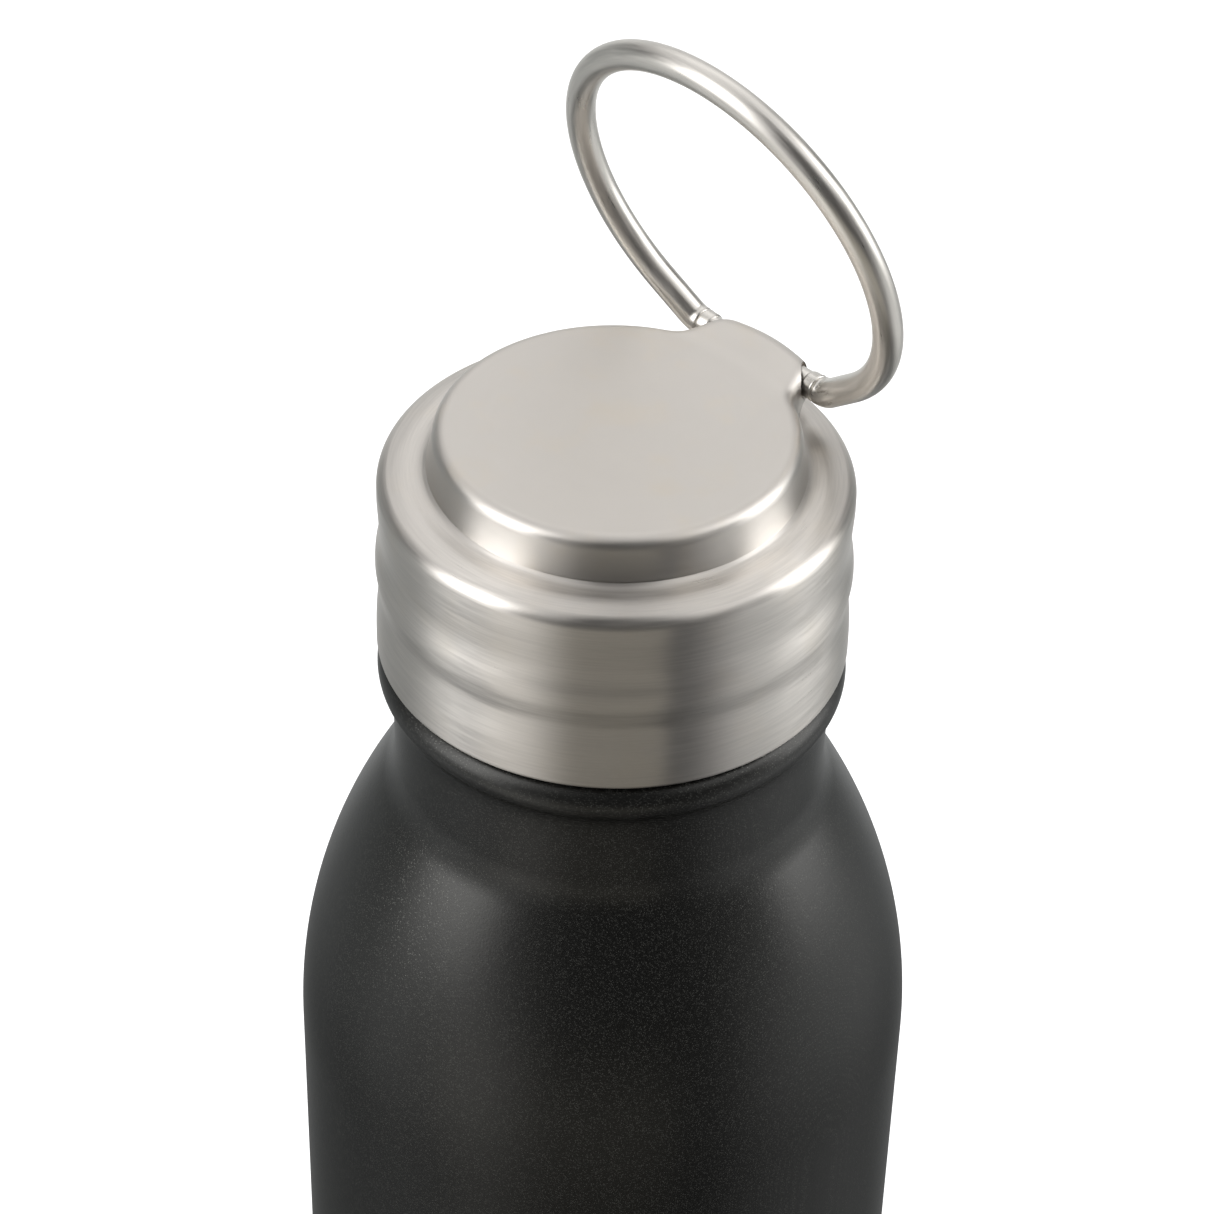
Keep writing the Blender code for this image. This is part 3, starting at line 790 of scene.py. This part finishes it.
def build_cap_inside():
    """What shows when the cap is lifted: threaded liner, gasket and the steel disc under the plug."""
    def wall(radius, angle, height):
        if abs(radius - LINER_ROOT_RADIUS) > 0.01:
            return radius
        return radius - ridge_height(angle, height, THREAD_BOTTOM_Z, 1.55, 90)

    low = 221.5
    profile = [(LINER_RADIUS, LINER_DECK_Z)] + line((LINER_RADIUS, 230.0), (LINER_RADIUS, low + 0.3), 4)
    profile += arc((LINER_RADIUS - 0.3, low + 0.3), 0.3, 0, -90, 4)
    profile += [(LINER_ROOT_RADIUS + 0.4, low)]
    profile += line((LINER_ROOT_RADIUS, low + 0.4), (LINER_ROOT_RADIUS, LINER_DECK_Z - 0.4), 120)
    profile += arc((LINER_ROOT_RADIUS - 0.4, LINER_DECK_Z - 0.4), 0.4, 0, 90, 4)
    profile += arc((PLUG_RADIUS + 0.4, LINER_DECK_Z - 0.4), 0.4, 90, 180, 4)
    profile += line((PLUG_RADIUS, LINER_DECK_Z - 0.6), (PLUG_RADIUS, 222.6), 8)
    profile += arc((PLUG_RADIUS - 0.5, 222.6), 0.5, 0, -90, 5) + [(PLUG_RADIUS - 1.0, 222.1)]
    shape = lathe(profile, closed=False, radius_at=wall)
    piece = make_piece("threaded_liner", shape, "cap", finishes["liner"], sharp=60)
    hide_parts("cap_liner")

    dome = [(0.0, 220.75), (12.0, 220.72), (18.2, 220.6)]
    disc = [(0.0, 221.8), (PLUG_RADIUS, 221.8)] + arc((PLUG_RADIUS - 0.65, 221.15), 0.65, 0, -90, 8)
    disc += [(18.6, 220.5)] + dome[::-1]
    piece = make_piece("plug_disc", lathe(disc, closed=False), "cap", finishes["plate"])
    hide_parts("cap_plug_disc")

    low, high = node_box("cap_seal_ring")
    outer = high.x
    middle = (low.z + high.z) / 2
    half = (high.z - low.z) / 2
    inner = 20.7
    ring = arc((outer - 0.9, middle), 0.9, -80, 80, 12)
    ring += [(outer - 1.1, middle + half), (inner + 1.1, middle + half)]
    ring += arc((inner + 0.9, middle), 0.9, 100, 260, 12)
    ring += [(inner + 1.1, middle - half), (outer - 1.1, middle - half)]
    piece = make_piece("gasket", lathe(ring), "seal", finishes["gasket"], sharp=50)
    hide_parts("cap_seal_ring")


# ---------------------------------------------------------------- loop

def loop_half():
    """Half of the wire's centreline in its own plane, from a foot on the pivot axis to the top."""
    lift = LOOP_CENTRE - FOOT_BEND_RADIUS
    spacing = math.hypot(FOOT_START_X, lift)
    slope = math.atan2(FOOT_START_X, lift) + math.acos((LOOP_RADIUS - FOOT_BEND_RADIUS) / spacing)
    turn = math.degrees(slope)
    bend = arc((FOOT_START_X, FOOT_BEND_RADIUS), FOOT_BEND_RADIUS, -90, turn - 90, 20)
    return bend + arc((0.0, LOOP_CENTRE), LOOP_RADIUS, turn - 90, 90, 110)


def lean_loop(shape):
    """Turn the loop's plane about the pivot axis to its resting lean and move it to the pivot."""
    turn = Matrix.Rotation(math.radians(LOOP_LEAN), 3, "X")
    for vertex in shape.verts:
        vertex.co = turn @ vertex.co + PIVOT


def build_loop():
    """Bent wire with rounded feet, the pin through the lug, and the weld rings between them."""
    # X from the wire's foot, negative towards the lug, and how much thinner the wire is there
    tips = [(-0.4, 0.25), (-0.28, 0.11), (-0.12, 0.02)]
    half = [(FOOT_START_X + shift, 0.0) for shift, _ in tips] + loop_half()
    path = half + [(-x, z) for x, z in half[-2::-1]]
    ends = [WIRE_RADIUS - thinner for _, thinner in tips]
    sizes = ends + [WIRE_RADIUS] * (len(path) - 2 * len(ends)) + ends[::-1]
    wire = bmesh.new()
    sweep(wire, path, sizes, 40)
    lean_loop(wire)
    piece = make_piece("carry_wire", wire, "loop", finishes["wire"], sharp=50)
    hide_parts("handle_loop")

    pin = bmesh.new()
    end = PIN_END + 0.15
    middle = line((-PIN_END, 0.0), (PIN_END, 0.0), 8) + [(PIN_END, 0.0)]
    sweep(pin, [(-end, 0.0)] + middle + [(end, 0.0)], PIN_RADIUS, 40)
    # X from the wire's foot, negative towards the lug, and the collar's radius there
    collar = [(-1.9, 1.4), (-1.75, 1.52), (-1.6, 1.56), (-0.8, 1.56), (-0.68, 1.6)]
    collar += [(-0.55, 1.62), (-0.42, 1.58), (-0.35, 1.46)]
    for side in (-1, 1):
        path = [(side * (FOOT_START_X + shift), 0.0) for shift, _ in collar]
        sweep(pin, path, [radius for _, radius in collar], 40)
    for vertex in pin.verts:
        vertex.co = vertex.co + PIVOT
    piece = make_piece("hinge_pin", pin, "loop", finishes["wire"], sharp=50)
    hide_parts("pivot_pin")


def finish_hidden_nodes():
    """Give the nodes that stay as CAD their finishes."""
    looks = {
        "outer_base": "hidden_steel",
        "vacuum_seal": "solder",
        "radiation_shield": "foil",
        "getter_cup": "hidden_steel",
        "getter_pill": "getter",
        "cap_foam": "foam",
    }
    for name, finish in looks.items():
        mesh = frame["nodes"][name].data
        mesh.materials.clear()
        mesh.materials.append(finishes[finish])


# ---------------------------------------------------------------- studio

VIEW_AZIMUTH = 44.4
VIEW_PITCH = 39.22
VIEW_ROLL = 1.49
VIEW_DISTANCE = 420.7
VIEW_TARGET_Z = 224.75
VIEW_TARGET_SIDE = -0.68
LENS = 111.35


def away_from_bottle(azimuth, elevation):
    """The direction outwards at an azimuth from -Y towards +X and an elevation."""
    turn = math.radians(azimuth)
    lift = math.radians(elevation)
    return Vector((math.sin(turn) * math.cos(lift), -math.cos(turn) * math.cos(lift), math.sin(lift)))


def camera_side():
    """The level direction to the camera's right."""
    return away_from_bottle(VIEW_AZIMUTH + 90, 0)


def build_camera():
    """Camera looking down at the cap."""
    back = away_from_bottle(VIEW_AZIMUTH, VIEW_PITCH)
    target = camera_side() * VIEW_TARGET_SIDE + Vector((0.0, 0.0, VIEW_TARGET_Z))
    data = bpy.data.cameras.new("camera")
    data.lens = LENS
    data.sensor_width = 36.0
    data.clip_start = 10.0 * MM
    camera = link_object("camera", data)
    turn = (-back).to_track_quat("-Z", "Y").to_matrix() @ Matrix.Rotation(math.radians(VIEW_ROLL), 3, "Z")
    camera.matrix_world = Matrix.Translation((target + back * VIEW_DISTANCE) * MM) @ turn.to_4x4()
    bpy.context.scene.camera = camera


WHITE = (1.0, 1.0, 1.0)
WARM = (1.05, 0.98, 0.80)
COOL = (0.95, 1.01, 1.01)

# Banks of light that only reflections see. Each has its azimuth from and to (0 is towards the camera and
# + is the camera's right), elevation from and to, softness of its edges in azimuth and elevation,
# radiance, and tint.
SOFTBOXES = {
    "left_bank": (-86, -50, 0, 50, 10, 13, 3.3, WHITE),
    "left_low": (-92, -42, -60, -4, 14, 14, 0.36, WHITE),
    "left_spill": (-52, -27, -60, 4, 12, 14, 0.50, WHITE),
    "left_high": (-56, -24, 30, 75, 8, 12, 0.48, WHITE),
    "right_bank": (80, 112, -4, 46, 10, 13, 3.0, WHITE),
    "right_low": (74, 118, -60, -6, 16, 14, 0.38, WHITE),
    "right_spill": (50, 74, -60, 4, 16, 14, 0.40, WHITE),
    "right_high": (36, 74, 30, 75, 8, 12, 0.45, WHITE),
    "ceiling": (48, 312, 30, 140, 20, 16, 0.78, WHITE),
    "back_wall": (150, 210, -140, 60, 14, 14, 0.46, WHITE),
    "floor": (-181, 181, -140, -24, 1, 12, 0.09, WHITE),
    "side_floors": (64, 296, -140, 10, 20, 14, 0.25, COOL),
    "front_floor": (-60, 26, -140, -14, 1, 10, 0.23, WARM),
}
AMBIENT = 0.09

# A sheer tube round the bottle: it lets SCRIM_PASSES of the light through below SCRIM_SHEER_Z, easing to all
# of it at SCRIM_CLEAR_Z
SCRIM_RADIUS = 130.0
SCRIM_BOTTOM_Z = -300.0
SCRIM_TOP_Z = 160.0
SCRIM_SHEER_Z = 75.0
SCRIM_CLEAR_Z = 165.0
SCRIM_PASSES = 0.34

FLOOR_HALF_SIZE = 6000.0
LAMP_AIM_Z = 150.0


def soft_band(tree, value, low, high, blur):
    """1 between `low` and `high`, easing to 0 over twice the blur at either end."""
    rise = remap(tree, value, low - blur, low + blur, 0, 1)
    fall = remap(tree, value, high - blur, high + blur, 1, 0)
    return calc(tree, "MULTIPLY", rise, fall)


def build_world():
    """White surroundings for the eye and for matt surfaces; soft banks of light for what shines."""
    world = bpy.data.worlds.new("studio")
    world.use_nodes = True
    world.cycles.sampling_method = "NONE"
    bpy.context.scene.world = world
    tree = world.node_tree
    tree.nodes.clear()
    direction = node(tree, "ShaderNodeTexCoord").outputs["Generated"]
    towards_camera = tuple(away_from_bottle(VIEW_AZIMUTH, 0))
    ahead = vector_calc(tree, "DOT_PRODUCT", direction, towards_camera, output="Value")
    across = vector_calc(tree, "DOT_PRODUCT", direction, tuple(camera_side()), output="Value")
    azimuth = calc(tree, "DEGREES", calc(tree, "ARCTAN2", across, ahead))
    elevation = calc(tree, "DEGREES", calc(tree, "ARCSINE", height_of(tree, direction)))
    total = (AMBIENT, AMBIENT, AMBIENT)
    for low, high, bottom, top, blur, rise, radiance, tint in SOFTBOXES.values():
        half = (high - low) / 2
        away = calc(tree, "WRAP", calc(tree, "SUBTRACT", azimuth, (low + high) / 2), 180.0, -180.0)
        inside = soft_band(tree, away, -half, half, blur)
        level = soft_band(tree, elevation, bottom, top, rise)
        lit = calc(tree, "MULTIPLY", calc(tree, "MULTIPLY", inside, level), radiance)
        total = vector_calc(tree, "ADD", total, scaled(tree, tint, lit))
    rays = node(tree, "ShaderNodeLightPath")
    plain = node(tree, "ShaderNodeBackground", {"Color": rgb(WHITE), "Strength": 1.0})
    banks = node(tree, "ShaderNodeBackground", {"Color": total, "Strength": 1.0})
    inputs = {0: rays.outputs["Is Glossy Ray"], 1: plain.outputs[0], 2: banks.outputs[0]}
    mixed = node(tree, "ShaderNodeMixShader", inputs)
    node(tree, "ShaderNodeOutputWorld", {"Surface": mixed.outputs[0]})


def build_floor():
    """Plain pale floor."""
    shape = bmesh.new()
    bmesh.ops.create_grid(shape, x_segments=1, y_segments=1, size=FLOOR_HALF_SIZE)
    floor = to_object("floor", shape)
    material, tree, shader = new_material("pale_floor")
    cloud = noise(tree, object_place(tree), 3.0, 2.0, 0.5)
    tone = blend_colour(tree, cloud, rgb((0.93, 0.93, 0.93)), rgb((0.95, 0.95, 0.95)))
    set_inputs(tree, shader, {"Base Color": tone, "Roughness": 0.9, "Specular IOR Level": 0.1})
    floor.data.materials.append(material)
    floor.visible_glossy = False


def build_scrim():
    """A sheer grey screen round the lower half, met only by reflections: it dims the low surroundings."""
    outline = [(SCRIM_RADIUS, SCRIM_BOTTOM_Z), (SCRIM_RADIUS, SCRIM_TOP_Z)]
    scrim = to_object("scrim", lathe(outline, closed=False, segments=96))
    material, tree, shader = new_material("sheer_scrim")
    height = height_of(tree, object_place(tree))
    passed = remap(tree, height, SCRIM_SHEER_Z * MM, SCRIM_CLEAR_Z * MM, SCRIM_PASSES, 1.0)
    sheer = node(tree, "ShaderNodeBsdfTransparent", {"Color": passed}).outputs[0]
    tree.links.new(sheer, tree.nodes["Material Output"].inputs["Surface"])
    tree.nodes.remove(shader)
    scrim.data.materials.append(material)
    scrim.visible_camera = False
    scrim.visible_diffuse = False
    scrim.visible_shadow = False


def build_lamp(name, azimuth, elevation, distance, size, power):
    """A square soft light aimed at the middle of the bottle, unseen in reflections."""
    away = away_from_bottle(VIEW_AZIMUTH + azimuth, elevation)
    data = bpy.data.lights.new(name, "AREA")
    data.size = size * MM
    data.energy = power
    lamp = link_object(name, data)
    lamp.location = (Vector((0.0, 0.0, LAMP_AIM_Z)) + away * distance) * MM
    lamp.rotation_mode = "QUATERNION"
    lamp.rotation_quaternion = (-away).to_track_quat("-Z", "Y")
    lamp.visible_glossy = False
    lamp.visible_camera = False


build_body()
build_neck()
build_flask()
build_foot()
build_skirt()
build_crown()
build_cap_inside()
build_loop()
finish_hidden_nodes()
build_floor()
build_scrim()
build_world()
build_lamp("key", azimuth=-60, elevation=50, distance=1200.0, size=900.0, power=8.0)
build_lamp("fill", azimuth=120, elevation=55, distance=1200.0, size=900.0, power=6.0)
build_camera()
bpy.context.scene.view_settings.view_transform = "Standard"
bpy.context.scene.view_settings.look = "None"
